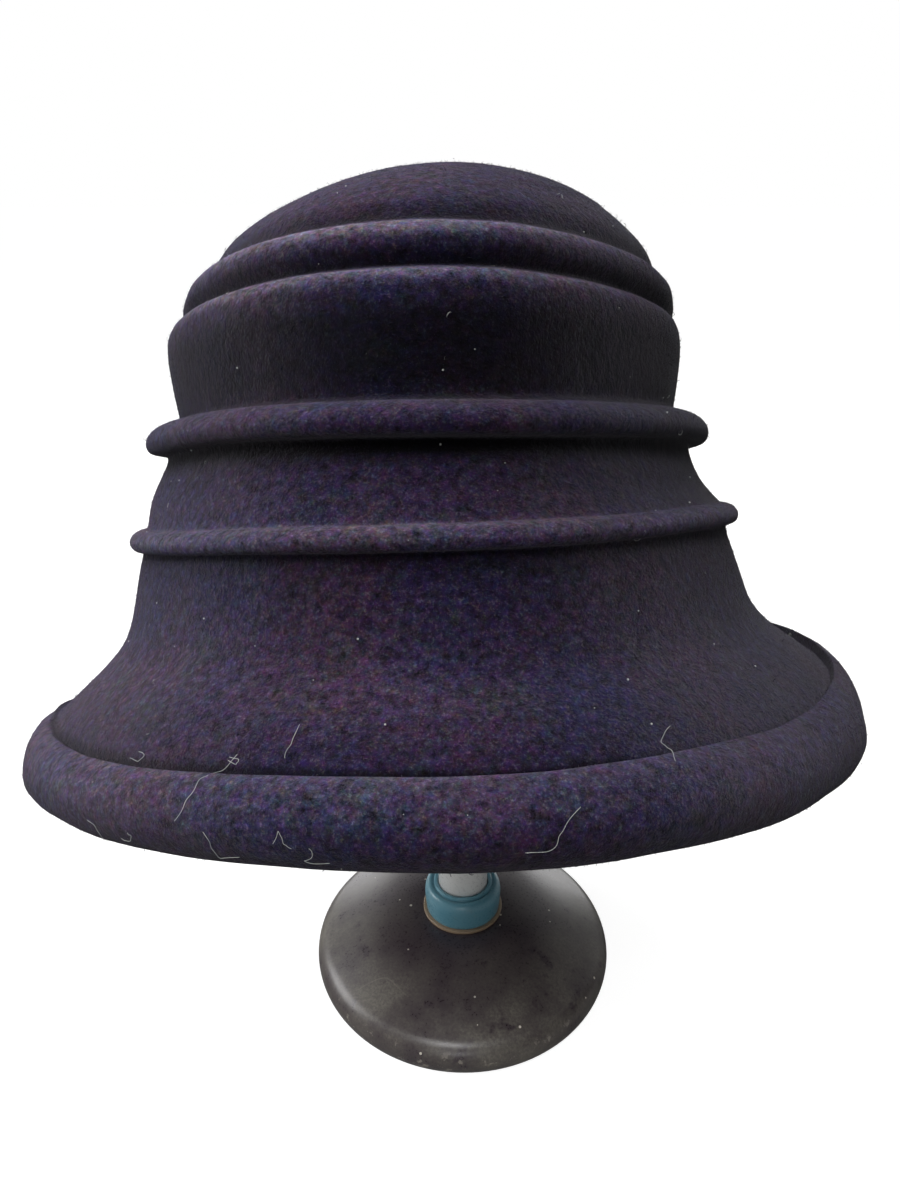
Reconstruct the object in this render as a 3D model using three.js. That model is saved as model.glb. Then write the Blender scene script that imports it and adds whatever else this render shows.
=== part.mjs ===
// A felt cloche hat with two pleats, two pinched tucks and a turned-up cuff, on a plain stand.
// Millimetres, +Z up. The hat's front faces -Y. The origin is the centre of the stand's underside.

import * as THREE from 'three';

// Driving sizes of the hat
const FELT = 3;
const HEAD_WIDTH = 176;
const HEAD_LENGTH = 197;
const CROWN_HEIGHT = 123.5;
const DOME_HEIGHT = 44.5;
const DOME_ROUNDNESS = 1.55;
const BRIM_WIDTH = 292.5;
const BRIM_LENGTH = 302;
const BRIM_DROP = 80.9;
const FRONT_LIFT = 8.1;
const SIDE_SHIFT = 2.6;
const BRIM_LEAN = 6.9;
const BRIM_DROOP = 1.6;
const BRIM_TWIST = 4.8;
const CROWN_SHIFT = 10;
const SKIRT_SHIFT = -2.2;
const PLEAT_LIFT = 4.5;
const PLEAT_LEAN = -1;
const UPPER_TUCK_HEIGHT = 30.3;
const UPPER_TUCK_REACH = 9.5;
const UPPER_TUCK_THICKNESS = 9.5;
const LOWER_TUCK_HEIGHT = 0;
const LOWER_TUCK_REACH = 5.5;
const LOWER_TUCK_THICKNESS = 7;
const UPPER_TUCK_LEAN = -1;
const LOWER_TUCK_LEAN = 1.6;
const TUCK_FILLET = 0.4;
const CUFF_HEIGHT = 21.5;
const CUFF_GAP = 3;
const CUFF_MOUTH = 1;
const CUFF_UNEVENNESS = 2.8;
const CUFF_BACK_RISE = 1.8;

// Where the hat sits on its stand
const HAT_DATUM = new THREE.Vector3(-13, -7, 228.5);
const TILT_BACK = 18;
const TILT_SIDE = 1.8;

// Driving sizes of the stand
const BASE_WIDTH = 140;
const BASE_EDGE_RADIUS = 8;
const BASE_HEIGHT = 31.5;
const BASE_SHOULDER_ANGLE = 70;
const BASE_LAND_MARGIN = 1;
const WASHER_WIDTH = 37.5;
const WASHER_THICKNESS = 1.5;
const COLLAR_WIDTH = 36;
const COLLAR_HEIGHT = 15;
const COLLAR_ROUNDING = 3;
const POST_WIDTH = 23;
const SUPPORT_WIDTH = 60;
const SUPPORT_RADIUS = 58;
const SUPPORT_RIM = 4;
const CLEARANCE = 0.3;

// How finely the round shapes are cut into facets
const HAT_SIDES = 40;
const STAND_SIDES = 36;
const DOME_ROWS = 7;
const BEND_STEPS = 4;

// The wall's outer face from the dome's foot to the waist. height is a share of the crown's
// height above the lower tuck, size a share of the head size, and pleat a share of the pleats'
// rise at the front.
const CROWN_ROWS = [
  { name: 'dome foot',          height: 0.694, size: 0.912, pleat: 1 },
  { name: 'first pleat edge',   height: 0.673, size: 0.940, pleat: 1 },
  { name: 'first pleat brow',   height: 0.648, size: 0.972, pleat: 1 },
  { name: 'first pleat face',   height: 0.616, size: 0.980, pleat: 1 },
  { name: 'second pleat dip',   height: 0.589, size: 0.962, pleat: 1 },
  { name: 'second pleat edge',  height: 0.568, size: 0.994, pleat: 1 },
  { name: 'second pleat brow',  height: 0.540, size: 1.018, pleat: 0.9 },
  { name: 'crown bulge',        height: 0.496, size: 1.026, pleat: 0.6 },
  { name: 'crown side',         height: 0.435, size: 1.012, pleat: 0.2 },
  { name: 'waist',              height: 0.365, size: 1.000, pleat: 0 },
];

// The wall's outer face between and below the tucks. flare runs from the head size at 0 to the
// brim inside its cuff at 1, drop is a share of the brim's drop below the lower tuck, and lift a
// share of the front's rise.
const BELL_ROWS = [
  { name: 'shoulder of bell',   drop: 0.125, flare: 0.345, lift: 0.05 },
  { name: 'side of bell',       drop: 0.275, flare: 0.390, lift: 0.20 },
  { name: 'foot of bell',       drop: 0.410, flare: 0.460, lift: 0.45 },
  { name: 'start of flare',     drop: 0.515, flare: 0.590, lift: 0.70 },
  { name: 'middle of flare',    drop: 0.615, flare: 0.760, lift: 0.90 },
  { name: 'end of flare',       drop: 0.705, flare: 0.880, lift: 1.00 },
  { name: 'top of cuff',        drop: 0.775, flare: 0.940, lift: 1.00 },
  { name: 'behind the cuff',    drop: 0.870, flare: 0.985, lift: 1.00 },
];

const UPPER_TUCK_FLARE = { above: 0.010, below: 0.085 };
const LOWER_TUCK_FLARE = { above: 0.265, below: 0.305 };
const SHIFTED_FLARE = 0.5;
const SKIRT_ROW = { height: 0.100, flare: 0.195 };

// The inner face of the turned-up flap. up is a share of the cuff's height, gap a share of its gap.
const CUFF_ROWS = [
  { up: 0.25, gap: 1.00, flare: 1.000 },
  { up: 0.50, gap: 1.00, flare: 0.990 },
  { up: 0.76, gap: 0.80, flare: 0.965 },
];

const radians = THREE.MathUtils.degToRad;

const brimWallHalfWidth = BRIM_WIDTH / 2 - CUFF_GAP - FELT;
const brimWallHalfLength = BRIM_LENGTH / 2 - CUFF_GAP - FELT;

const bulgeRow = CROWN_ROWS.find((row) => row.name === 'crown bulge');
const bulgeHeight = bulgeRow.height * CROWN_HEIGHT;

// One ring of the felt's outer face. out is added square to the wall, the same all round. lean
// raises the right side and lowers the left, back raises the back, and narrowing draws in what
// they raise.
function ring(values) {
  const plain = { z: 0, size: 1, flare: 0, out: 0, shift: 0, pleat: 0, lift: 0, lean: 0, back: 0 };
  return { ...plain, narrowing: 0, ...values };
}

function domeRings() {
  const foot = CROWN_ROWS[0];
  const rings = [];
  for (let i = 1; i < DOME_ROWS; i += 1) {
    const across = Math.sin((Math.PI / 2) * (i / DOME_ROWS));
    const share = Math.pow(1 - Math.pow(across, DOME_ROUNDNESS), 1 / DOME_ROUNDNESS);
    const z = CROWN_HEIGHT - DOME_HEIGHT * (1 - share);
    rings.push(ring({ z, size: foot.size * across, pleat: foot.pleat * across ** 3 }));
  }
  return rings;
}

function crownRings() {
  const foot = CROWN_ROWS[0].height * CROWN_HEIGHT;
  const top = CROWN_HEIGHT - DOME_HEIGHT;
  return CROWN_ROWS.map(({ height, size, pleat }) => {
    const belowDome = height * CROWN_HEIGHT - foot;
    return ring({ z: top + belowDome, size, pleat });
  });
}

// A tuck is the wall pinched outwards into a flange of two layers with a round edge.
function tuckRings({ height, reach, thickness, flare, lean }) {
  const half = thickness / 2;
  const fillet = half * TUCK_FILLET;
  const rings = [];
  rings.push(ring({ z: height + half + fillet, flare: flare.above, lean: lean / 2 }));
  rings.push(ring({ z: height + half, flare: flare.above, out: fillet, lean }));
  for (let i = 0; i <= BEND_STEPS; i += 1) {
    const angle = Math.PI / 2 - (Math.PI * i) / BEND_STEPS;
    const out = reach - half + half * Math.cos(angle);
    const around = THREE.MathUtils.lerp(flare.above, flare.below, i / BEND_STEPS);
    rings.push(ring({ z: height + half * Math.sin(angle), flare: around, out, lean }));
  }
  rings.push(ring({ z: height - half, flare: flare.below, out: fillet, lean }));
  rings.push(ring({ z: height - half - fillet, flare: flare.below, lean: lean / 2 }));
  return rings;
}

function skirtRing() {
  return ring({ z: SKIRT_ROW.height * CROWN_HEIGHT, flare: SKIRT_ROW.flare, shift: SKIRT_SHIFT });
}

function bellRings() {
  return BELL_ROWS.map(({ drop, flare, lift }) => ring({ z: -drop * BRIM_DROP, flare, lift }));
}

// The edge turns up outside: down the wall, round the fold, and up the inner face of the flap.
function cuffRings() {
  const foldRadius = CUFF_GAP / 2;
  const foldZ = -BRIM_DROP + FELT + foldRadius;
  const rings = [];
  for (let i = 0; i <= BEND_STEPS; i += 1) {
    const angle = (Math.PI * i) / BEND_STEPS;
    const out = foldRadius - foldRadius * Math.cos(angle);
    rings.push(ring({ z: foldZ - foldRadius * Math.sin(angle), flare: 1, out, lift: 1 }));
  }
  const above = BELL_ROWS.find((row) => row.name === 'end of flare');
  const lip = BELL_ROWS.find((row) => row.name === 'top of cuff');
  const flarePerHeight = (lip.flare - above.flare) / ((lip.drop - above.drop) * BRIM_DROP);
  const raised = (up) => ({
    lift: 1,
    lean: up * CUFF_UNEVENNESS,
    back: up * CUFF_BACK_RISE,
    narrowing: up * flarePerHeight,
  });
  for (const { up, gap, flare } of CUFF_ROWS) {
    rings.push(ring({ z: foldZ + up * CUFF_HEIGHT, flare, out: gap * CUFF_GAP, ...raised(up) }));
  }
  const lipZ = foldZ + CUFF_HEIGHT - foldRadius - FELT;
  rings.push(ring({ z: lipZ, flare: lip.flare, out: CUFF_MOUTH, ...raised(1) }));
  return rings;
}

function feltRings() {
  return [
    ...domeRings(),
    ...crownRings(),
    ...tuckRings({
      height: UPPER_TUCK_HEIGHT,
      reach: UPPER_TUCK_REACH,
      thickness: UPPER_TUCK_THICKNESS,
      flare: UPPER_TUCK_FLARE,
      lean: UPPER_TUCK_LEAN,
    }),
    skirtRing(),
    ...tuckRings({
      height: LOWER_TUCK_HEIGHT,
      reach: LOWER_TUCK_REACH,
      thickness: LOWER_TUCK_THICKNESS,
      flare: LOWER_TUCK_FLARE,
      lean: LOWER_TUCK_LEAN,
    }),
    ...bellRings(),
    ...cuffRings(),
  ];
}

// A point of a ring at an angle from the hat's front, counter-clockwise seen from above
function ringPoint({ z, size, flare, out, shift, pleat, lift, lean, back, narrowing }, angle) {
  const side = Math.sin(angle);
  const front = Math.cos(angle);
  const raised = lean * side + (back * (1 - front)) / 2;
  const spread = flare - narrowing * raised;
  const halfWidth = THREE.MathUtils.lerp((HEAD_WIDTH / 2) * size, brimWallHalfWidth, spread);
  const halfLength = THREE.MathUtils.lerp((HEAD_LENGTH / 2) * size, brimWallHalfLength, spread);
  const wall = new THREE.Vector2(halfWidth * side, -halfLength * front);
  wall.setLength(wall.length() + out);
  wall.x += shift + SIDE_SHIFT * THREE.MathUtils.smoothstep(flare, 0, SHIFTED_FLARE);
  wall.x += CROWN_SHIFT * THREE.MathUtils.clamp((z - bulgeHeight) / (CROWN_HEIGHT - bulgeHeight), 0, 1);
  const twist = BRIM_TWIST * Math.sin(2 * angle);
  const saddle = FRONT_LIFT * front + BRIM_LEAN * side - BRIM_DROOP * side * side - twist;
  const pleated = PLEAT_LIFT * front + PLEAT_LEAN * side;
  return new THREE.Vector3(wall.x, wall.y, z + pleat * pleated + lift * saddle + raised);
}

// The felt's inner face lies one thickness behind its outer face, square to it at each ring.
function innerPoints(outer) {
  return outer.map((point, i) => {
    const before = outer[Math.max(i - 1, 0)];
    const after = outer[Math.min(i + 1, outer.length - 1)];
    const away = new THREE.Vector2(point.x, point.y).normalize();
    const run = (after.x - before.x) * away.x + (after.y - before.y) * away.y;
    const rise = after.z - before.z;
    const length = Math.hypot(run, rise);
    const inwards = (FELT * rise) / length;
    const down = (FELT * run) / length;
    return new THREE.Vector3(point.x + away.x * inwards, point.y + away.y * inwards, point.z - down);
  });
}

// Joins rings of equal length, with a single point at each end, into one closed surface.
function loft(firstTip, rings, lastTip) {
  const sides = rings[0].length;
  const positions = [firstTip, ...rings.flat(), lastTip].flatMap((p) => [p.x, p.y, p.z]);
  const at = (row, side) => 1 + row * sides + (side % sides);
  const last = 1 + rings.length * sides;
  const index = [];
  for (let side = 0; side < sides; side += 1) {
    index.push(0, at(0, side), at(0, side + 1));
    for (let row = 0; row + 1 < rings.length; row += 1) {
      index.push(at(row, side), at(row + 1, side), at(row, side + 1));
      index.push(at(row + 1, side), at(row + 1, side + 1), at(row, side + 1));
    }
    index.push(at(rings.length - 1, side), last, at(rings.length - 1, side + 1));
  }
  const geometry = new THREE.BufferGeometry();
  geometry.setAttribute('position', new THREE.Float32BufferAttribute(positions, 3));
  geometry.setIndex(index);
  geometry.computeVertexNormals();
  return geometry;
}

function hatGeometry() {
  const rings = feltRings();
  const meridians = [];
  for (let side = 0; side < HAT_SIDES; side += 1) {
    const angle = (2 * Math.PI * side) / HAT_SIDES;
    const outer = rings.map((values) => ringPoint(values, angle));
    meridians.push([...outer, ...innerPoints(outer).reverse()]);
  }
  const rows = meridians[0].map((_, row) => meridians.map((points) => points[row]));
  const top = new THREE.Vector3(CROWN_SHIFT, 0, CROWN_HEIGHT);
  const under = new THREE.Vector3(CROWN_SHIFT, 0, CROWN_HEIGHT - FELT);
  return loft(top, rows, under);
}

function material(color, roughness, metalness = 0) {
  return new THREE.MeshStandardMaterial({ color, roughness, metalness });
}

function part(name, geometry, look) {
  const mesh = new THREE.Mesh(geometry, look);
  mesh.name = name;
  return mesh;
}

// A round piece about the stand's upright axis from corners of radius and height
function turned(corners) {
  const points = corners.map(([radius, height]) => new THREE.Vector2(radius, height));
  return new THREE.LatheGeometry(points, STAND_SIDES).rotateX(Math.PI / 2);
}

// Points of a quarter circle about a centre, from one angle in degrees to another
function bend(centreRadius, centreHeight, radius, from, to) {
  const corners = [];
  for (let i = 0; i <= BEND_STEPS; i += 1) {
    const angle = radians(THREE.MathUtils.lerp(from, to, i / BEND_STEPS));
    corners.push([centreRadius + radius * Math.cos(angle), centreHeight + radius * Math.sin(angle)]);
  }
  return corners;
}

// The base is a cushion-shaped disc: a half-round edge and a low dome with a flat land on top.
function standBase() {
  const edge = BASE_WIDTH / 2 - BASE_EDGE_RADIUS;
  const land = WASHER_WIDTH / 2 + BASE_LAND_MARGIN;
  const domeFoot = 2 * BASE_EDGE_RADIUS;
  const corners = [[0, 0]];
  corners.push(...bend(edge, BASE_EDGE_RADIUS, BASE_EDGE_RADIUS, -90, 0));
  corners.push(...bend(edge, BASE_EDGE_RADIUS, BASE_EDGE_RADIUS, 0, BASE_SHOULDER_ANGLE).slice(1));
  const [shoulder, shoulderHeight] = corners[corners.length - 1];
  for (let i = 1; i <= BEND_STEPS; i += 1) {
    const inwards = i / BEND_STEPS;
    const radius = THREE.MathUtils.lerp(shoulder, land, inwards);
    const height = shoulderHeight + (BASE_HEIGHT - shoulderHeight) * Math.sin((inwards * Math.PI) / 2);
    corners.push([radius, height]);
  }
  corners.push([0, BASE_HEIGHT]);
  return turned(corners);
}

const holeRadius = POST_WIDTH / 2 + CLEARANCE;
const collarFoot = BASE_HEIGHT + WASHER_THICKNESS;

function washer() {
  const outer = WASHER_WIDTH / 2;
  return turned([
    [holeRadius, BASE_HEIGHT],
    [outer, BASE_HEIGHT],
    [outer, collarFoot],
    [holeRadius, collarFoot],
    [holeRadius, BASE_HEIGHT],
  ]);
}

function collar() {
  const outer = COLLAR_WIDTH / 2;
  const top = collarFoot + COLLAR_HEIGHT;
  const round = bend(outer - COLLAR_ROUNDING, top - COLLAR_ROUNDING, COLLAR_ROUNDING, 0, 90);
  return turned([
    [holeRadius, collarFoot],
    [outer, collarFoot],
    ...round,
    [holeRadius, top],
    [holeRadius, collarFoot],
  ]);
}

// The support's round top, as corners of radius and depth below its highest point
function supportTop() {
  const half = SUPPORT_WIDTH / 2;
  const reach = Math.asin(half / SUPPORT_RADIUS);
  const corners = [];
  for (let i = 0; i <= BEND_STEPS; i += 1) {
    const angle = reach * (1 - i / BEND_STEPS);
    corners.push([SUPPORT_RADIUS * Math.sin(angle), SUPPORT_RADIUS * (1 - Math.cos(angle))]);
  }
  return corners;
}

// How high the support's top can stand under the crown, measured upwards to the felt
function supportHeight(hat) {
  const ray = new THREE.Raycaster();
  const up = new THREE.Vector3(0, 0, 1);
  let height = Infinity;
  for (const [radius, depth] of supportTop()) {
    for (let side = 0; side < STAND_SIDES; side += 1) {
      const angle = (2 * Math.PI * side) / STAND_SIDES;
      const foot = new THREE.Vector3(radius * Math.sin(angle), radius * Math.cos(angle), HAT_DATUM.z);
      ray.set(foot, up);
      const [hit] = ray.intersectObject(hat);
      height = Math.min(height, hit.point.z + depth);
    }
  }
  return height - CLEARANCE;
}

function support(top) {
  const corners = supportTop().map(([radius, depth]) => [radius, top - depth]);
  const underside = corners[0][1] - SUPPORT_RIM;
  return turned([[0, underside], [SUPPORT_WIDTH / 2, underside], ...corners]);
}

function post(top) {
  const underside = top - supportTop()[0][1] - SUPPORT_RIM;
  return turned([
    [0, BASE_HEIGHT],
    [POST_WIDTH / 2, BASE_HEIGHT],
    [POST_WIDTH / 2, underside],
    [0, underside],
  ]);
}

const felt = material(0x3a3444, 0.95);
felt.side = THREE.DoubleSide;

const hatPlace = new THREE.Group();
hatPlace.position.copy(HAT_DATUM);
hatPlace.rotation.set(radians(-TILT_BACK), radians(-TILT_SIDE), 0, 'YXZ');
hatPlace.add(part('hat', hatGeometry(), felt));

const cloche = new THREE.Group();
cloche.name = 'cloche_on_stand';
cloche.add(hatPlace);
cloche.updateMatrixWorld(true);

const supportPeak = supportHeight(hatPlace);
cloche.add(part('stand_base', standBase(), material(0x33302f, 0.45)));
cloche.add(part('collar_ring', washer(), material(0xb9a98a, 0.6)));
cloche.add(part('collar', collar(), material(0x5d97ab, 0.4)));
cloche.add(part('post', post(supportPeak), material(0xe9e8e4, 0.4)));
cloche.add(part('support_cap', support(supportPeak), material(0xe9e8e4, 0.5)));

export default cloche;
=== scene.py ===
# %% [markdown]
# A cloche hat of boiled wool on a plain display stand. The CAD model holds every piece at its
# real size, so this script only gives the pieces their finish: a softer felt surface, a nap of
# fibres, lint, and the smooth round shapes of the stand. Everything is in metres, +Z up, and the
# hat's front faces -Y.

import math
import random

import bmesh
import bpy
from mathutils import Euler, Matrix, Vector, noise
from mathutils.bvhtree import BVHTree


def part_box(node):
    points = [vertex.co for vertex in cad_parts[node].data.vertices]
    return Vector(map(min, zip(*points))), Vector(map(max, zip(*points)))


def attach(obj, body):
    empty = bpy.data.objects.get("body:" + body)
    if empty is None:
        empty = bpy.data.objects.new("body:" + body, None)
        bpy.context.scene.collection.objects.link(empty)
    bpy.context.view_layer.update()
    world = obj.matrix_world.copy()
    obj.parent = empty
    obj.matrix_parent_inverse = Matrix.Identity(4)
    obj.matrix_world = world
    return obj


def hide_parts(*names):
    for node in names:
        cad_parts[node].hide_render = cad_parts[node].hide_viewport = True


MM = 0.001
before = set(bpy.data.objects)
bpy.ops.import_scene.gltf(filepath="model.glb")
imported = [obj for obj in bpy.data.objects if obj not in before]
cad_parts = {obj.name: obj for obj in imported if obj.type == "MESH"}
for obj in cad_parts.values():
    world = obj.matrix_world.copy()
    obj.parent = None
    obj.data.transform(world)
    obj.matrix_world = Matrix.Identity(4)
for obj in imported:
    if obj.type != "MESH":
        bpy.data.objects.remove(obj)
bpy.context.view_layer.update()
print("nodes:", ", ".join(sorted(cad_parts)))

# %% [markdown]
# The camera comes first, because lint is placed by where it shows in the photograph. A camera is
# set either by eye or from measured points. Here it was measured: the round base, the collar and
# the hat's rings give the height, the pitch and the focal length in pixels.

# %% Camera
IMAGE_WIDTH = 900
IMAGE_HEIGHT = 1200
FOCAL_PIXELS = 867
CAMERA_PLACE = Vector((-6.1, -316.6, 340.4)) * MM
CAMERA_PITCH = math.radians(24.93)
SENSOR_HEIGHT = 36.0
NEAREST_SEEN = 10 * MM

lens = bpy.data.cameras.new("camera")
lens.sensor_fit = "VERTICAL"
lens.sensor_height = SENSOR_HEIGHT
lens.lens = SENSOR_HEIGHT * FOCAL_PIXELS / IMAGE_HEIGHT
lens.clip_start = NEAREST_SEEN
camera = bpy.data.objects.new("camera", lens)
camera.location = CAMERA_PLACE
camera.rotation_euler = (math.pi / 2 - CAMERA_PITCH, 0, 0)
bpy.context.collection.objects.link(camera)
bpy.context.scene.camera = camera


def pixel_direction(x, y):
    """The direction from the camera through a pixel of the 900 by 1200 photograph."""
    across = (x - IMAGE_WIDTH / 2) / FOCAL_PIXELS
    up = (IMAGE_HEIGHT / 2 - y) / FOCAL_PIXELS
    return (camera.rotation_euler.to_matrix() @ Vector((across, up, -1))).normalized()


print("lens in mm:", round(lens.lens, 2))

# %% [markdown]
# The floor is a wide pale disc. A backdrop wall would hide the horizon from the front, but it
# would stand in the way of the back view, so the floor simply runs far out and the sky above it
# is as pale as the floor.

# %% Floor
FLOOR_RADIUS = 40.0
FLOOR_SEGMENTS = 64
POLE_MERGE = 0.01 * MM


def mesh_of(name, bm):
    """The mesh that a bmesh holds. The bmesh itself is freed."""
    mesh = bpy.data.meshes.new(name)
    bm.to_mesh(mesh)
    bm.free()
    return mesh


def spun_mesh(name, profile, segments):
    """A mesh made by spinning a half outline of (radius, height) pairs about the upright axis."""
    bm = bmesh.new()
    corners = [bm.verts.new((radius, 0, height)) for radius, height in profile]
    edges = [bm.edges.new(pair) for pair in zip(corners, corners[1:])]
    bmesh.ops.spin(
        bm,
        geom=corners + edges,
        cent=(0, 0, 0),
        axis=(0, 0, 1),
        angle=math.tau,
        steps=segments,
        use_merge=True,
    )
    bmesh.ops.remove_doubles(bm, verts=bm.verts, dist=POLE_MERGE)
    bmesh.ops.recalc_face_normals(bm, faces=bm.faces)
    mesh = mesh_of(name, bm)
    mesh.shade_smooth()
    return mesh


def linked(name, mesh):
    """An object for a mesh, linked into the scene at the origin."""
    obj = bpy.data.objects.new(name, mesh)
    bpy.context.collection.objects.link(obj)
    return obj


floor = linked("floor", spun_mesh("floor", [(0, 0), (FLOOR_RADIUS, 0)], FLOOR_SEGMENTS))
print("floor radius in m:", FLOOR_RADIUS)

# %% [markdown]
# Materials are node trees. Small helpers keep them readable: the first two set a node's inputs and
# add a node, and the others stand for steps that come again and again, such as a cloudy pattern or
# a mix of two colours. An input's value may be a number, a colour or another node's socket.


# %% Node helpers
def set_inputs(tree, node, inputs):
    """Sets each of a node's inputs, or links it where its value is a socket."""
    for name, value in inputs.items():
        if isinstance(value, bpy.types.NodeSocket):
            tree.links.new(value, node.inputs[name])
        else:
            node.inputs[name].default_value = value


def add_node(tree, kind, inputs=None, **settings):
    """Adds a node with its options and its inputs."""
    node = tree.nodes.new(kind)
    for name, value in settings.items():
        setattr(node, name, value)
    set_inputs(tree, node, inputs or {})
    return node


def noise_value(tree, place, scale, detail=3.0, roughness=0.5):
    """A cloudy pattern, about one cloud for each 1/scale metres."""
    inputs = {"Vector": place, "Scale": scale, "Detail": detail, "Roughness": roughness}
    return add_node(tree, "ShaderNodeTexNoise", inputs).outputs["Fac"]


def remap(tree, value, low, high, start=0.0, end=1.0):
    """Stretches low..high to start..end and clamps the rest."""
    inputs = {"Value": value, "From Min": low, "From Max": high, "To Min": start, "To Max": end}
    return add_node(tree, "ShaderNodeMapRange", inputs).outputs["Result"]


def mixed(tree, factor, first, second):
    """A colour between two colours."""
    inputs = {0: factor, 6: first, 7: second}
    return add_node(tree, "ShaderNodeMix", inputs, data_type="RGBA").outputs[2]


def combined(tree, operation, first, second):
    """A sum, product or other result of two values."""
    return add_node(tree, "ShaderNodeMath", {0: first, 1: second}, operation=operation).outputs[0]


# %% [markdown]
# A finish that several materials share is a node group, and every material here starts from one
# Principled shader, which is enough for felt, paint and lint. Two helpers make them, and a third
# puts a material on an object. A value that is the same all over a surface is set on the shader's
# own socket, where an export can read it.

# %% Groups and materials
VALUE = "NodeSocketFloat"
COLOUR = "NodeSocketColor"
VECTOR = "NodeSocketVector"
LOW_CLOUD = 0.3
HIGH_CLOUD = 0.7


def new_group(name, inputs, outputs):
    """An empty shader node group with named inputs and outputs."""
    tree = bpy.data.node_groups.new(name, "ShaderNodeTree")
    for label, kind in inputs.items():
        tree.interface.new_socket(label, in_out="INPUT", socket_type=kind)
    for label, kind in outputs.items():
        tree.interface.new_socket(label, in_out="OUTPUT", socket_type=kind)
    return tree


def new_material(name, **shader_values):
    """A material with a Principled shader, whose even values are set on its own sockets."""
    material = bpy.data.materials.new(name)
    material.use_nodes = True
    tree = material.node_tree
    tree.nodes.clear()
    inputs = {label.replace("_", " "): value for label, value in shader_values.items()}
    shader = add_node(tree, "ShaderNodeBsdfPrincipled", inputs)
    add_node(tree, "ShaderNodeOutputMaterial", {"Surface": shader.outputs[0]})
    place = add_node(tree, "ShaderNodeTexCoord").outputs["Object"]
    return material, tree, shader, place


def cover(obj, material):
    """Gives an object one material in place of any that it has."""
    obj.data.materials.clear()
    obj.data.materials.append(material)


# %% [markdown]
# The floor's paper is grey with a very faint grain, but it glows, so it looks white and stays as
# pale far out as near by. White paper would throw a lot of light up under the brim, where the
# photograph is dark, so only the camera sees the glow.

# %% Floor material
PAPER_PALE = (0.30, 0.30, 0.297, 1)
PAPER_SHADE = (0.27, 0.27, 0.267, 1)
PAPER_GLOW = 0.91
PAPER_CLOUDS = 40
WHITE = (1, 1, 1, 1)

paper, tree, shader, place = new_material("floor_paper", Roughness=0.9, Specular_IOR_Level=0.0)
grain = remap(tree, noise_value(tree, place, PAPER_CLOUDS), LOW_CLOUD, HIGH_CLOUD)
seen = add_node(tree, "ShaderNodeLightPath").outputs["Is Camera Ray"]
glow = combined(tree, "MULTIPLY", seen, PAPER_GLOW)
set_inputs(tree, shader, {"Emission Color": WHITE, "Emission Strength": glow})
set_inputs(tree, shader, {"Base Color": mixed(tree, grain, PAPER_SHADE, PAPER_PALE)})
cover(floor, paper)
print("floor glow:", PAPER_GLOW)

# %% [markdown]
# The photograph has soft light from above, from behind and from the left: what faces up or lies at
# an edge is grey, and the front is nearly black. A single lamp would throw hard shadows, so seven
# softboxes stand round the hat, each a square lamp that looks at its middle. Powers are in watts.

# %% Softboxes
LIGHTS = {
    "top_light": {"place": (-0.1, 0.25, 1.25), "size": 0.7, "power": 12},
    "front_light": {"place": (-0.2, -0.85, 1.30), "size": 0.5, "power": 11},
    "low_light": {"place": (-0.1, -1.20, 0.38), "size": 0.4, "power": 1.6},
    "left_light": {"place": (-1.15, 0.10, 0.60), "size": 0.7, "power": 9},
    "right_light": {"place": (1.15, 0.60, 0.50), "size": 0.7, "power": 0.6},
    "back_left_light": {"place": (-0.50, 0.95, 0.14), "size": 0.35, "power": 1.3},
    "back_right_light": {"place": (0.50, 0.95, 0.14), "size": 0.35, "power": 1.5},
}
LIT_POINT = Vector((0, 0, 0.2))

for name, light in LIGHTS.items():
    lamp = bpy.data.lights.new(name, "AREA")
    lamp.size = light["size"]
    lamp.energy = light["power"]
    softbox = bpy.data.objects.new(name, lamp)
    softbox.location = light["place"]
    softbox.rotation_euler = (LIT_POINT - softbox.location).to_track_quat("-Z", "Y").to_euler()
    bpy.context.collection.objects.link(softbox)
print("softboxes:", len(LIGHTS))

# %% [markdown]
# The sky gives the rest of the light. A sky of one strength would light the hat's front too much,
# so its strength changes with the direction: more overhead than at the horizon, more behind than in
# front and more on the left. The camera sees plain white, as in the photograph.

# %% Sky
SKY_OVERHEAD = 0.95
SKY_HORIZON = 0.40
SKY_FRONT = 0.15
SKY_BACK = 1.10
SKY_LEFT = 1.25
SKY_RIGHT = 0.12
SKY_REACH = 0.9
SEEN_SKY = 1.0

world = bpy.data.worlds.new("world")
bpy.context.scene.world = world
world.use_nodes = True
sky = world.node_tree
sky.nodes.clear()
direction = add_node(sky, "ShaderNodeTexCoord").outputs["Generated"]
parts = add_node(sky, "ShaderNodeSeparateXYZ", {0: direction}).outputs
overhead = remap(sky, parts["Z"], 0.0, 1.0, SKY_HORIZON, SKY_OVERHEAD)
behind = remap(sky, parts["Y"], -SKY_REACH, SKY_REACH, SKY_FRONT, SKY_BACK)
sideways = remap(sky, parts["X"], -SKY_REACH, SKY_REACH, SKY_LEFT, SKY_RIGHT)
light_given = combined(sky, "MULTIPLY", combined(sky, "MULTIPLY", overhead, behind), sideways)
seen = add_node(sky, "ShaderNodeLightPath").outputs["Is Camera Ray"]
strength = add_node(
    sky, "ShaderNodeMix", {0: seen, 2: light_given, 3: SEEN_SKY}, data_type="FLOAT"
).outputs[0]
back = add_node(sky, "ShaderNodeBackground", {"Color": WHITE, "Strength": strength})
add_node(sky, "ShaderNodeOutputWorld", {"Surface": back.outputs[0]})
bpy.context.scene.view_settings.view_transform = "Standard"
print("sky nodes:", len(sky.nodes))

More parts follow.
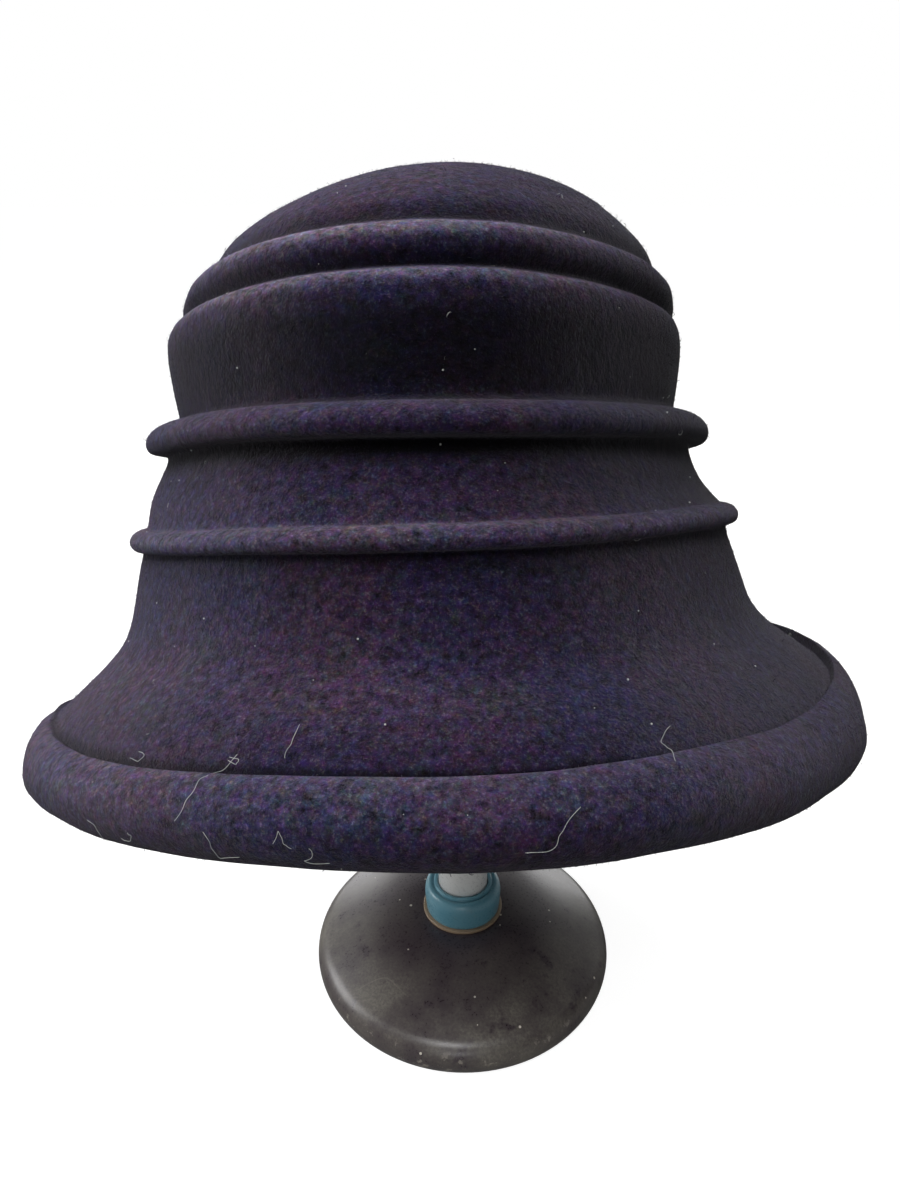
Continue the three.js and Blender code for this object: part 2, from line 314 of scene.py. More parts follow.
# %% [markdown]
# The hat is one sheet of felt, and its CAD solid already has every fold. A render of that solid
# would show flat facets. The facets could be hidden by shading alone, but the outline would
# stay angular. So a copy is made, its loose triangles are merged, and later a Subdivision Surface
# rounds them. The points of the sheet lie in rings: down the outside from the top of the dome,
# round the edge of the cuff, and up again inside. Counting edges from the top numbers them.

# %% Rings of the felt
LOOSE_MERGE = 0.001 * MM

sheet = bmesh.new()
sheet.from_mesh(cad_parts["hat"].data)
bmesh.ops.remove_doubles(sheet, verts=sheet.verts, dist=LOOSE_MERGE)
ring_layer = sheet.verts.layers.float.new("ring")
dome_top = max(sheet.verts, key=lambda v: (len(v.link_edges), v.co.z))
rings = [[dome_top]]
counted = {dome_top}
while rings[-1]:
    reached = {e.other_vert(v) for v in rings[-1] for e in v.link_edges} - counted
    counted |= reached
    rings.append(sorted(reached, key=lambda v: v.index))
rings.pop()
for number, ring in enumerate(rings):
    for vertex in ring:
        vertex[ring_layer] = number
bmesh.ops.join_triangles(
    sheet,
    faces=sheet.faces,
    angle_face_threshold=math.pi,
    angle_shape_threshold=math.pi,
)
print("rings:", len(rings), "points in the widest:", max(len(ring) for ring in rings))
print("four-sided faces:", sum(len(f.verts) == 4 for f in sheet.faces), "of", len(sheet.faces))

# %% [markdown]
# The hat sits tilted back and leans a little to one side. Its folds run round its own axis, so the
# next steps need the directions up along that axis and away from it. Turning the whole hat upright
# and back would do as well, but these two directions are simpler.

# %% The hat's axis
HAT_PLACE = Vector((-13, -7, 228.5)) * MM
HAT_TILT = Euler((math.radians(-18), 0, 0)).to_matrix()
HAT_LEAN = Euler((0, math.radians(-1.8), 0)).to_matrix()
HAT_TURN = HAT_LEAN @ HAT_TILT
hat_up = HAT_TURN @ Vector((0, 0, 1))


def in_hat(direction):
    """A direction as the upright hat would have it, with x to its right and y to its back."""
    return HAT_TURN.transposed() @ direction


def outward(point):
    """The direction away from the hat's own axis."""
    local = in_hat(point - HAT_PLACE)
    return HAT_TURN @ Vector((local.x, local.y, 0)).normalized()


print("the hat's axis:", [round(part, 3) for part in hat_up])

# %% [markdown]
# Rounding alone would make the folds look like soft waves. On the real hat each pleat hangs over
# the felt above it with a thin bright edge and a dark crease, and the cuff is a plump roll. So
# some rings move first: a crease goes in, the edge under it comes out and up, and the cuff's face
# is made rounder. The numbers are millimetres away from the hat's axis and up along it.

# %% Sharper folds
RING_MOVES = {
    "dome over pleat 1": {"ring": 6, "out": 0.5, "up": -0.2},
    "crease of pleat 1": {"ring": 7, "out": -1.9, "up": -0.9},
    "edge of pleat 1": {"ring": 8, "out": 1.4, "up": 1.1},
    "face of pleat 1": {"ring": 9, "out": 0.7, "up": 0.2},
    "foot of pleat 1": {"ring": 10, "out": 0.5, "up": -0.2},
    "crease of pleat 2": {"ring": 11, "out": -1.9, "up": -0.7},
    "edge of pleat 2": {"ring": 12, "out": 1.6, "up": 1.2},
    "face of pleat 2": {"ring": 13, "out": 0.6, "up": 0.2},
    "over upper tuck": {"ring": 17, "out": -0.8, "up": 0.0},
    "upper tuck top": {"ring": 19, "out": 0.3, "up": 0.5},
    "under upper tuck": {"ring": 24, "out": -1.2, "up": 0.6},
    "over lower tuck": {"ring": 28, "out": -0.8, "up": 0.0},
    "under lower tuck": {"ring": 34, "out": -0.9, "up": 0.4},
    "cuff middle": {"ring": 56, "out": 1.4, "up": 0.0},
    "cuff lower face": {"ring": 57, "out": 0.5, "up": 0.6},
    "cuff bottom": {"ring": 58, "out": -0.9, "up": 0.6},
}
for move in RING_MOVES.values():
    for vertex in rings[move["ring"]]:
        vertex.co += (outward(vertex.co) * move["out"] + hat_up * move["up"]) * MM
print("rings moved:", len(RING_MOVES))

# %% [markdown]
# In front and at the back a groove runs over the cuff, and at the sides the flare runs into the
# cuff without a step. So the rings on both sides of the groove have two pairs of numbers, one where
# the groove is open and one for the sides, and each point takes a share of both.

# %% Cuff
CUFF_MOVES = {
    "flare": {"ring": 39, "out": 0.0, "up": 0.0, "side_out": 0.8, "side_up": 0.4},
    "end of the flare": {"ring": 40, "out": 0.2, "up": 0.0, "side_out": 1.7, "side_up": 1.0},
    "over the groove": {"ring": 41, "out": 0.9, "up": -1.4, "side_out": 2.4, "side_up": 2.2},
    "lip": {"ring": 53, "out": -0.8, "up": -2.6, "side_out": -0.2, "side_up": 2.4},
    "shoulder": {"ring": 54, "out": -1.0, "up": -2.6, "side_out": -0.2, "side_up": 2.0},
    "upper face": {"ring": 55, "out": 0.4, "up": -0.8, "side_out": 0.5, "side_up": 1.0},
}
FADE_START = 0.70
FADE_END = 0.30


def groove_share(point):
    """1 in front and at the back, where the cuff's groove is open, and 0 at the sides."""
    forward = abs(in_hat(outward(point)).y)
    return min(1.0, max(0.0, (forward - FADE_END) / (FADE_START - FADE_END)))


for move in CUFF_MOVES.values():
    for vertex in rings[move["ring"]]:
        open_share = groove_share(vertex.co)
        out = move["side_out"] + (move["out"] - move["side_out"]) * open_share
        up = move["side_up"] + (move["up"] - move["side_up"]) * open_share
        vertex.co += (outward(vertex.co) * out + hat_up * up) * MM
print("cuff rings moved:", len(CUFF_MOVES))

# %% [markdown]
# The cuff of the real hat lies so close that only a soft groove shows over it, and the groove
# fills up at the sides. The CAD gap behind the cuff is deep and open. Its rings are laid on a shallow
# valley from the flare to the cuff's lip, so nothing has to be cut out.

# %% Groove over the cuff
FLARE_RING = 41
LIP_RING = 53
GROOVE_DEEP = 3.4 * MM
GROOVE_FADED = -0.5


def nearest(ring, point):
    """The point of a ring that lies nearest."""
    return min((v.co for v in ring), key=lambda place: (place - point).length_squared)


for number in range(FLARE_RING + 1, LIP_RING):
    share = (number - FLARE_RING) / (LIP_RING - FLARE_RING)
    for vertex in rings[number]:
        depth = GROOVE_DEEP * (GROOVE_FADED + (1 - GROOVE_FADED) * groove_share(vertex.co))
        flare = nearest(rings[FLARE_RING], vertex.co)
        lip = nearest(rings[LIP_RING], vertex.co)
        dip = 1 - abs(2 * share - 1)
        vertex.co = flare.lerp(lip, share) - hat_up * depth * dip
print("rings laid in the groove:", LIP_RING - FLARE_RING - 1)

# %% [markdown]
# Now the folds are in place, the sheet is rounded. The corners could be rounded one by one with
# bevels, but a Subdivision Surface rounds them all at once, as thick felt does by itself. The
# modifier is applied here, because the next steps work on the finer mesh.

# %% Rounded felt
SUBDIVISIONS = 2


def shown_mesh(obj):
    """A new mesh of what an object shows, with its modifiers or its curve worked out."""
    graph = bpy.context.evaluated_depsgraph_get()
    return bpy.data.meshes.new_from_object(obj.evaluated_get(graph))


def apply_modifiers(obj):
    """Makes what an object's modifiers give its own mesh."""
    mesh = shown_mesh(obj)
    obj.modifiers.clear()
    obj.data = mesh


felt_hat = linked("felt_hat", mesh_of("felt_hat", sheet))
smoother = felt_hat.modifiers.new("smoother", "SUBSURF")
smoother.levels = smoother.render_levels = SUBDIVISIONS
apply_modifiers(felt_hat)
felt_hat.data.shade_smooth()
print("felt faces:", len(felt_hat.data.polygons))

# %% [markdown]
# Blocked felt is never quite even. Its wall swells and dips by under a millimetre over the width
# of a hand, and has smaller lumps a finger wide, most of all on the cuff. Every point moves with a
# smooth noise that depends only on its place, so both faces of the wall move together. Over the
# hidden support the felt only moves away from it.

# %% Uneven felt
SWELL = {"span": 48 * MM, "height": 0.9 * MM, "seed": 3.1}
LUMPS = {"span": 13 * MM, "height": 0.40 * MM, "seed": 7.7}
CUFF_LUMPS = {"span": 17 * MM, "height": 0.55 * MM, "seed": 23.9}
WAVES = {"span": 60 * MM, "height": 0.8 * MM, "seed": 11.3}
CUFF_EDGE_RING = 60
SUPPORT_REACH = 45 * MM
SUPPORT_MARGIN = 10 * MM
OVER_SUPPORT = 0.5


def soft(point, pattern):
    """A smooth noise between about -1 and 1 times the pattern's height."""
    place_in_noise = point / pattern["span"] + Vector((pattern["seed"], 0, 0))
    return pattern["height"] * noise.noise(place_in_noise)


support_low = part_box("support_cap")[0].z - SUPPORT_MARGIN
ring_of = [mark.value for mark in felt_hat.data.attributes["ring"].data]
for vertex, number in zip(felt_hat.data.vertices, ring_of):
    place = vertex.co.copy()
    away = soft(place, SWELL) + soft(place, LUMPS)
    if FLARE_RING < number < CUFF_EDGE_RING:
        away += soft(place, CUFF_LUMPS)
    along = soft(place, WAVES)
    if place.z > support_low and place.xy.length < SUPPORT_REACH:
        vertex.co += hat_up * abs(away) * OVER_SUPPORT
    else:
        vertex.co += outward(place) * away + hat_up * along
felt_hat.data.update()
print("points moved:", len(ring_of))

# %% [markdown]
# Only the outer face is seen, so the nap grows there. A vertex attribute marks it: 1 outside, down
# to the edge of the cuff, and 0 inside.

# %% Mark the outer face
marks = felt_hat.data.attributes.new("outside", "FLOAT", "POINT")
for number, mark in zip(ring_of, marks.data):
    mark.value = 1.0 if number < CUFF_EDGE_RING else 0.0
print("share of points outside:", round(sum(m.value for m in marks.data) / len(marks.data), 2))

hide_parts("hat")
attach(felt_hat, "root")

# %% [markdown]
# Old felt isn't evenly dark. A second attribute holds how pale the wool is, ring by ring, with one
# value for the hat's front and one for its sides and back. Part of it is fading: ridges that are
# brushed and handled fade and collect pale dust, and the creases keep their dye. The rest is
# painted light and shade: painted highlights on the pleat edges and on what faces up, and painted
# shade in the creases, in the groove over the cuff, under the tucks and on the cuff's underside.
# Painting it by hand would do as well, but a script can't paint, and the rings are already
# numbered. The right side gets less light and is painted darker still, most of all on the crown.

# %% Fading and painted light and shade
# High rows, such as rings 8 and 12, are painted highlights on the pleat edges; low rows, such as 7,
# 11, 25 and 47, are painted shade in the creases, under the upper tuck and in the groove.
FADING_AND_PAINTED_LIGHT = (
    {"ring": 0, "front": 1.45, "side": 1.35},
    {"ring": 5.6, "front": 1.35, "side": 1.25},
    {"ring": 7, "front": 0.22, "side": 0.50},
    {"ring": 8, "front": 4.40, "side": 1.80},
    {"ring": 9.2, "front": 1.30, "side": 1.05},
    {"ring": 10, "front": 0.50, "side": 0.90},
    {"ring": 11, "front": 0.15, "side": 0.40},
    {"ring": 12, "front": 3.40, "side": 1.60},
    {"ring": 13, "front": 1.00, "side": 1.00},
    {"ring": 14, "front": 0.22, "side": 0.80},
    {"ring": 15.5, "front": 0.22, "side": 0.80},
    {"ring": 16.6, "front": 0.50, "side": 0.80},
    {"ring": 18, "front": 0.50, "side": 0.70},
    {"ring": 19, "front": 1.50, "side": 1.30},
    {"ring": 21, "front": 1.20, "side": 1.20},
    {"ring": 23, "front": 0.30, "side": 0.60},
    {"ring": 24.5, "front": 0.05, "side": 0.40},
    {"ring": 25, "front": 0.05, "side": 0.40},
    {"ring": 25.25, "front": 0.45, "side": 0.80},
    {"ring": 25.5, "front": 1.00, "side": 1.00},
    {"ring": 27, "front": 1.20, "side": 1.10},
    {"ring": 29, "front": 2.20, "side": 1.40},
    {"ring": 31, "front": 1.85, "side": 1.35},
    {"ring": 33, "front": 0.50, "side": 0.80},
    {"ring": 35, "front": 0.35, "side": 0.70},
    {"ring": 36, "front": 0.95, "side": 1.00},
    {"ring": 39, "front": 1.30, "side": 1.05},
    {"ring": 41, "front": 1.00, "side": 1.05},
    {"ring": 43, "front": 0.40, "side": 1.00},
    {"ring": 47, "front": 0.05, "side": 0.80},
    {"ring": 50, "front": 0.30, "side": 1.00},
    {"ring": 53, "front": 1.90, "side": 1.15},
    {"ring": 55, "front": 1.60, "side": 1.20},
    {"ring": 56, "front": 1.10, "side": 1.10},
    {"ring": 57, "front": 0.68, "side": 0.95},
    {"ring": 58, "front": 0.45, "side": 0.70},
    {"ring": 105, "front": 0.50, "side": 0.50},
)
RIGHT_DARKER = 0.62
CROWN_DARKER = 0.92
DARKER_FOOT = 31
DARKER_RINGS = 4
FRONT_REACH = 1.25
FRONT_EASE = 0.7


def pale_at(number, forward):
    """How pale the wool is at a ring, with its fading and its painted light and shade, from 0 at the
    sides and back to 1 in front.
    """
    for above, below in zip(FADING_AND_PAINTED_LIGHT, FADING_AND_PAINTED_LIGHT[1:]):
        if number <= below["ring"]:
            share = (number - above["ring"]) / (below["ring"] - above["ring"])
            front = above["front"] + (below["front"] - above["front"]) * share
            side = above["side"] + (below["side"] - above["side"]) * share
            return side + (front - side) * forward
    return FADING_AND_PAINTED_LIGHT[-1]["side"]


pale = felt_hat.data.attributes.new("pale", "FLOAT", "POINT")
for vertex, number, mark in zip(felt_hat.data.vertices, ring_of, pale.data):
    local = in_hat(outward(vertex.co))
    forward = min(1.0, max(0.0, -FRONT_REACH * local.y)) ** FRONT_EASE
    # Painted shade: the right side, turned from the light, is made darker, most of all on the crown.
    higher = min(1.0, max(0.0, (DARKER_FOOT - number) / DARKER_RINGS))
    darker = RIGHT_DARKER + (CROWN_DARKER - RIGHT_DARKER) * higher
    less = darker * min(1.0, max(0.0, local.x))
    mark.value = pale_at(number, forward) * (1 - less)
paleness = sorted(round(mark.value, 2) for mark in pale.data)
print("darkest and palest:", paleness[0], paleness[-1])

# %% [markdown]
# Boiled wool is dyed in the fleece, so it isn't one colour: navy and aubergine patches a few
# fingers wide, greyer ones, a mottle of a few millimetres, and fine pale hairs. A single noise would
# look like paint, so a group mixes several sizes, and both the felt and its nap use it.

# %% Wool colour group
NAVY = (0.0100, 0.0080, 0.0300, 1)
AUBERGINE = (0.0210, 0.0100, 0.0260, 1)
SLATE = (0.0150, 0.0165, 0.0220, 1)
PALE_HAIR = (0.0800, 0.0720, 0.0980, 1)
# The grey that the wool takes where a highlight is painted, together with dust on the ridges.
DUST_AND_HIGHLIGHT_GREY = (0.0300, 0.0270, 0.0310, 1)
PATCHES_PER_METRE = 26
GREYS_PER_METRE = 75
MOTTLES_PER_METRE = 380
HAIRS_PER_METRE = 1300
GREY_SHARE = 0.8
DUST_AND_HIGHLIGHT_SHARE = 0.55
HAIR_SHARE = 0.65
DARKEST = 0.05
PALEST = 2.2
HAIR_RELIEF = 0.35

wool = new_group(
    "dyed_wool",
    {"Place": VECTOR, "Lightness": VALUE},
    {"Color": COLOUR, "Height": VALUE},
)
entry = add_node(wool, "NodeGroupInput").outputs
patches = remap(wool, noise_value(wool, entry["Place"], PATCHES_PER_METRE, 4.0), 0.38, 0.62)
greys = noise_value(wool, entry["Place"], GREYS_PER_METRE, 5.0, 0.6)
greyer = remap(wool, greys, 0.52, 0.75, 0.0, GREY_SHARE)
mottle = noise_value(wool, entry["Place"], MOTTLES_PER_METRE, 6.0, 0.78)
hairs = noise_value(wool, entry["Place"], HAIRS_PER_METRE, 3.0, 0.75)
dyed = mixed(wool, patches, NAVY, AUBERGINE)
dyed = mixed(wool, greyer, dyed, SLATE)
# Painted highlight and dust: where the ring's value is high, on ridges and on what faces up, the dye
# is mixed towards grey.
greying = remap(wool, entry["Lightness"], 1.0, 2.4, 0.0, DUST_AND_HIGHLIGHT_SHARE)
dyed = mixed(wool, greying, dyed, DUST_AND_HIGHLIGHT_GREY)
shade = remap(wool, mottle, 0.32, 0.68, DARKEST, PALEST)
dyed = mixed(wool, remap(wool, hairs, 0.52, 0.78, 0.0, HAIR_SHARE), dyed, PALE_HAIR)
print("colour steps of the wool:", len(wool.nodes))

# %% [markdown]
# Seen close, each tuft also has a hue of its own, redder, greener or bluer. The noise node's colour
# output has three unlike patterns, one for each of red, green and blue, so the dye is multiplied by
# it, stretched round one. The height of the surface comes from the mottle and the hairs.

# %% Hues of the wool
HUES_PER_METRE = 420.0
HUE_STRENGTH = 2.7
HUE_BALANCE = 1 - HUE_STRENGTH / 2
LEAST_HUE = 0.15

hue_noise = {"Vector": entry["Place"], "Scale": HUES_PER_METRE, "Detail": 5.0, "Roughness": 0.78}
hues = add_node(wool, "ShaderNodeTexNoise", hue_noise).outputs["Color"]
stretch = {0: hues, 1: (HUE_STRENGTH,) * 3, 2: (HUE_BALANCE,) * 3}
tints = add_node(wool, "ShaderNodeVectorMath", stretch, operation="MULTIPLY_ADD").outputs[0]
limits = {0: tints, 1: (LEAST_HUE,) * 3}
tints = add_node(wool, "ShaderNodeVectorMath", limits, operation="MAXIMUM").outputs[0]
dyed = add_node(wool, "ShaderNodeVectorMath", {0: dyed, 1: tints}, operation="MULTIPLY").outputs[0]
# The mottle is scaled by Lightness, which carries the rings' fading and painted light and shade.
lightness = combined(wool, "MULTIPLY", shade, entry["Lightness"])
bright = add_node(wool, "ShaderNodeVectorMath", {0: dyed, "Scale": lightness}, operation="SCALE")
height = combined(wool, "ADD", combined(wool, "MULTIPLY", hairs, HAIR_RELIEF), mottle)
add_node(wool, "NodeGroupOutput", {"Color": bright.outputs[0], "Height": height})
print("all nodes of the wool:", len(wool.nodes))

# %% [markdown]
# Felt is matt, and its standing hairs catch light at the rims. Sheen gives that rim, and a bump
# gives the matted surface. The sheen is the same all over, so it is set on the shader itself.

# %% Felt material
FELT_BUMP = 1.8 * MM
BUMP_STRENGTH = 0.8
FELT_LIGHTNESS = 1.0


def wool_dye(tree, place, lightness):
    """The colour and height of dyed wool, with its ring's fading and painted light and shade, times a
    factor.
    """
    fading_and_painted_light = add_node(tree, "ShaderNodeAttribute", attribute_name="pale").outputs["Fac"]
    inputs = {"Place": place, "Lightness": combined(tree, "MULTIPLY", fading_and_painted_light, lightness)}
    return add_node(tree, "ShaderNodeGroup", inputs, node_tree=wool).outputs


felt, tree, shader, place = new_material(
    "boiled_wool_felt",
    Roughness=0.95,
    Specular_IOR_Level=0.08,
    Sheen_Weight=0.14,
    Sheen_Roughness=0.30,
    Sheen_Tint=(0.80, 0.77, 0.86, 1),
)
dye = wool_dye(tree, place, FELT_LIGHTNESS)
relief = {"Strength": BUMP_STRENGTH, "Distance": FELT_BUMP, "Height": dye["Height"]}
bump = add_node(tree, "ShaderNodeBump", relief).outputs["Normal"]
set_inputs(tree, shader, {"Base Color": dye["Color"], "Normal": bump})
cover(felt_hat, felt)
print("felt nodes:", len(tree.nodes))

# %% [markdown]
# The nap is the fuzz of loose wool fibres that softens the outline. Particle hair would do, but
# it isn't a mesh and would be lost in an export. So Geometry Nodes scatter a small curled fibre
# over the outer face, turn each one at random and join them all into one mesh. Each fibre is a
# thin three-sided spike that bends on its way up. Three meshes keep each one light.

# %% One fibre
FIBRE_LENGTH = 1.1 * MM
FIBRE_WIDTH = 0.11 * MM


def fibre_mesh(name, bends, width):
    """A tapering three-sided spike that turns by each angle in bends on its way up."""
    bm = bmesh.new()
    bmesh.ops.create_circle(bm, cap_ends=True, segments=3, radius=width / 2)
    step = Vector((0, 0, FIBRE_LENGTH / len(bends)))
    place = Vector()
    turned = 0.0
    end = bm.faces[:][0]
    for bend in bends:
        made = bmesh.ops.extrude_discrete_faces(bm, faces=[end])
        end = made["faces"][0]
        turned += bend
        move = Euler((turned, 0, 0)).to_matrix() @ step
        place = place + move
        bmesh.ops.translate(bm, verts=end.verts, vec=move)
    bmesh.ops.pointmerge(bm, verts=end.verts, merge_co=place)
    bmesh.ops.recalc_face_normals(bm, faces=bm.faces)
    return mesh_of(name, bm)


print("fibre in mm:", round(FIBRE_LENGTH / MM, 2), "by", round(FIBRE_WIDTH / MM, 2))

# %% [markdown]
# Every loose thing on the felt stands at random places. Instances would keep the file light, but
# an export loses them, so the node tree that follows ends with Realize Instances. It spreads
# points over the face that the attribute marks, turns a copy of the fibre at each, and joins all.

# %% Scatter nodes


def random_value(tree, kind, low, high, seed):
    """A random field: a vector or a single number."""
    first = 0 if kind == "FLOAT_VECTOR" else 2
    inputs = {first: low, first + 1: high, "Seed": seed}
    node = add_node(tree, "FunctionNodeRandomValue", inputs, data_type=kind)
    return node.outputs[0 if kind == "FLOAT_VECTOR" else 1]


def scatter_tree(name, fibre, density, tilt, grow, seed):
    """Geometry nodes that stand fibres on the marked face and join them."""
    tree = bpy.data.node_groups.new(name, "GeometryNodeTree")
    tree.interface.new_socket("Geometry", in_out="INPUT", socket_type="NodeSocketGeometry")
    tree.interface.new_socket("Geometry", in_out="OUTPUT", socket_type="NodeSocketGeometry")
    surface = add_node(tree, "NodeGroupInput").outputs[0]
    mark = add_node(tree, "GeometryNodeInputNamedAttribute", {"Name": "outside"})
    share = combined(tree, "MULTIPLY", mark.outputs["Attribute"], float(density))
    point_inputs = {"Mesh": surface, "Density": share, "Seed": seed}
    points = add_node(tree, "GeometryNodeDistributePointsOnFaces", point_inputs)
    turn = random_value(
        tree, "FLOAT_VECTOR", (-tilt, -tilt, -math.pi), (tilt, tilt, math.pi), seed + 1
    )
    turn = add_node(tree, "FunctionNodeEulerToRotation", {0: turn}).outputs[0]
    stand = points.outputs["Rotation"]
    turned = add_node(
        tree, "FunctionNodeRotateRotation", {0: stand, 1: turn}, rotation_space="LOCAL"
    )
    one = add_node(tree, "GeometryNodeObjectInfo", {"Object": fibre}).outputs["Geometry"]
    placed = add_node(
        tree,
        "GeometryNodeInstanceOnPoints",
        {
            "Points": points.outputs["Points"],
            "Instance": one,
            "Rotation": turned.outputs[0],
            "Scale": random_value(tree, "FLOAT", grow[0], grow[1], seed + 2),
        },
    )
    joined = add_node(tree, "GeometryNodeRealizeInstances", {0: placed.outputs[0]})
    add_node(tree, "NodeGroupOutput", {0: joined.outputs[0]})
    return tree


def scattered(layer, one, seed):
    """One piece made of many small copies of a mesh over the felt's outer face."""
    fibre = bpy.data.objects.new("one", one)
    nap = linked(layer["name"], felt_hat.data.copy())
    scatter = nap.modifiers.new("scatter", "NODES")
    scatter.node_group = scatter_tree(
        layer["name"], fibre, layer["density"], layer["tilt"], layer["grow"], seed
    )
    apply_modifiers(nap)
    nap.data.shade_smooth()
    if "outside" in nap.data.attributes:
        nap.data.attributes.remove(nap.data.attributes["outside"])
    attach(nap, "root")
    triangles = sum(len(face.vertices) - 2 for face in nap.data.polygons)
    print(layer["name"], "triangles:", triangles)
    return nap


# %% [markdown]
# The nap has three layers: a short one, a curled one, and a few long fibres that stand out past the
# others. One even layer would look like a brush. Densities are fibres in a square metre, tilts are
# in radians, and each fibre grows by a random factor between two values.

# %% Scatter the nap
NAP_LAYERS = (
    {"name": "nap_short", "bends": (0.5, 0.9), "density": 100000, "tilt": 0.9, "grow": (0.4, 0.9)},
    {"name": "nap_curled", "bends": (0.9, 1.3), "density": 100000, "tilt": 1.2, "grow": (0.5, 1.1)},
    {"name": "nap_long", "bends": (0.6, 1.0, 1.2), "density": 16000, "tilt": 1.3, "grow": (1.0, 2.0)},
)
SEED_STEP = 10

naps = []
for index, layer in enumerate(NAP_LAYERS):
    one = fibre_mesh("fibre", layer["bends"], FIBRE_WIDTH)
    naps.append(scattered(layer, one, SEED_STEP * index))

# %% [markdown]
# The fibres have the felt's own dye, or they would look like fur on it. They are painted a little
# paler, as painted light for a fibre that stands out and is lit from all round, and they shine
# slightly less at the rim.

# %% Nap material
NAP_LIGHTNESS = 1.5

fuzz, tree, shader, place = new_material(
    "wool_nap",
    Roughness=0.9,
    Specular_IOR_Level=0.15,
    Sheen_Weight=0.06,
    Sheen_Roughness=0.4,
    Sheen_Tint=(0.85, 0.83, 0.9, 1),
)
set_inputs(tree, shader, {"Base Color": wool_dye(tree, place, NAP_LIGHTNESS)["Color"]})
for nap in naps:
    cover(nap, fuzz)
print("nap layers with wool:", len(naps))

# %% [markdown]
# The stand is turned work, so each piece is a half outline spun about the axis, with its size
# taken from the CAD node that it replaces. The base is a cushion-shaped disc: a half-round edge,
# a round shoulder and a low dome.

# %% Stand shapes
SPIN_STEPS = 128
ARC_STEPS = 10


def arc(centre_radius, centre_height, radius, start, end, steps=ARC_STEPS):
    """Points of an arc in a half outline, from one angle to another in degrees."""
    points = []
    for step in range(steps + 1):
        angle = math.radians(start + (end - start) * step / steps)
        across = centre_radius + radius * math.cos(angle)
        points.append((across, centre_height + radius * math.sin(angle)))
    return points


def stand_piece(name, node, profile):
    """A spun piece that stands for one CAD node of the stand."""
    obj = linked(name, spun_mesh(name, profile, SPIN_STEPS))
    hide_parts(node)
    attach(obj, "root")
    print(name, "faces:", len(obj.data.polygons))
    return obj


base_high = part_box("stand_base")[1]
base_radius = base_high.x
base_height = base_high.z
ring_low, ring_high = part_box("collar_ring")
EDGE_RADIUS = 10 * MM
SHOULDER_ANGLE = 66
LAND_MARGIN = 1 * MM
DOME_STEPS = 24

edge = base_radius - EDGE_RADIUS
base_profile = [(0, 0)]
base_profile += arc(edge, EDGE_RADIUS, EDGE_RADIUS, -90, SHOULDER_ANGLE, 3 * ARC_STEPS)
shoulder, shoulder_height = base_profile[-1]
land = ring_high.x + LAND_MARGIN
for step in range(1, DOME_STEPS + 1):
    inwards = step / DOME_STEPS
    radius = shoulder + (land - shoulder) * inwards
    rise = (base_height - shoulder_height) * math.sin(inwards * math.pi / 2)
    base_profile.append((radius, shoulder_height + rise))
base_profile.append((0, base_height))
base = stand_piece("domed_base", "stand_base", base_profile)

# %% [markdown]
# The collar is turned plastic with a barrel-shaped side, a shoulder that rolls in, and a fine groove
# round a raised lip. A cylinder with bevels would have straight sides, so its half outline is
# drawn: the side bulges by a sine and the shoulder shrinks by a square.

# %% Collar
collar_low, collar_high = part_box("collar")
post_low, post_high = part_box("post")
HOLE_GAP = 0.3 * MM
LIP_WIDTH = 1.9 * MM
GROOVE_DEPTH = 1.3 * MM
GROOVE_WIDTH = 0.7 * MM
COLLAR_WAIST = 0.7 * MM
COLLAR_ROUND = 2.6 * MM
BULGE_START = 0.35
BULGE_END = 1.25
FOOT_ANGLE = -20
LIP_RISE = 0.9 * MM
LIP_ROUND = 0.6 * MM
GROOVE_DIP = 0.2 * MM
HOLE_DIP = 0.1 * MM
EASED = 0.5 * MM
SMALL_ARC = 4
LIP_ARC = 5

hole = post_high.x + HOLE_GAP
collar_outer = collar_high.x
collar_top = collar_high.z
lip = hole + LIP_WIDTH
collar_profile = [(hole, collar_low.z + EASED), (hole + EASED, collar_low.z)]
foot_centre = collar_outer - COLLAR_WAIST - EASED
collar_profile += arc(foot_centre, collar_low.z + EASED, EASED, -90, FOOT_ANGLE, SMALL_ARC)
barrel_foot = collar_profile[-1]
barrel_top = (collar_outer - COLLAR_ROUND, collar_top - LIP_RISE)
for step in range(1, ARC_STEPS + 1):
    share = step / ARC_STEPS
    bulge = COLLAR_WAIST * math.sin(math.pi * min(1.0, share / BULGE_END))
    shrink = COLLAR_ROUND * max(0.0, (share - BULGE_START) / (1 - BULGE_START)) ** 2
    height = barrel_foot[1] + (barrel_top[1] - barrel_foot[1]) * math.sin(share * math.pi / 2)
    collar_profile.append((collar_outer - COLLAR_WAIST + bulge - shrink, height))
collar_profile += [
    (lip + GROOVE_WIDTH, collar_top - GROOVE_DEPTH),
    (lip + GROOVE_WIDTH / 2, collar_top - GROOVE_DEPTH - GROOVE_DIP),
    (lip, collar_top - GROOVE_DEPTH),
]
collar_profile += arc(lip - LIP_ROUND, collar_top - LIP_ROUND, LIP_ROUND, 0, 90, LIP_ARC)
collar_profile += [(hole + EASED, collar_top - HOLE_DIP), (hole, collar_top - EASED)]
collar_profile.append(collar_profile[0])
collar = stand_piece("turned_collar", "collar", collar_profile)

# %% [markdown]
# Under the collar lies a flat washer with a rounded rim, and the collar and the washer sit round a
# white tube. All three outlines stay inside the CAD boxes, so the pieces keep their small gaps.

# %% Ring and post
RING_ROUND = 0.4 * MM

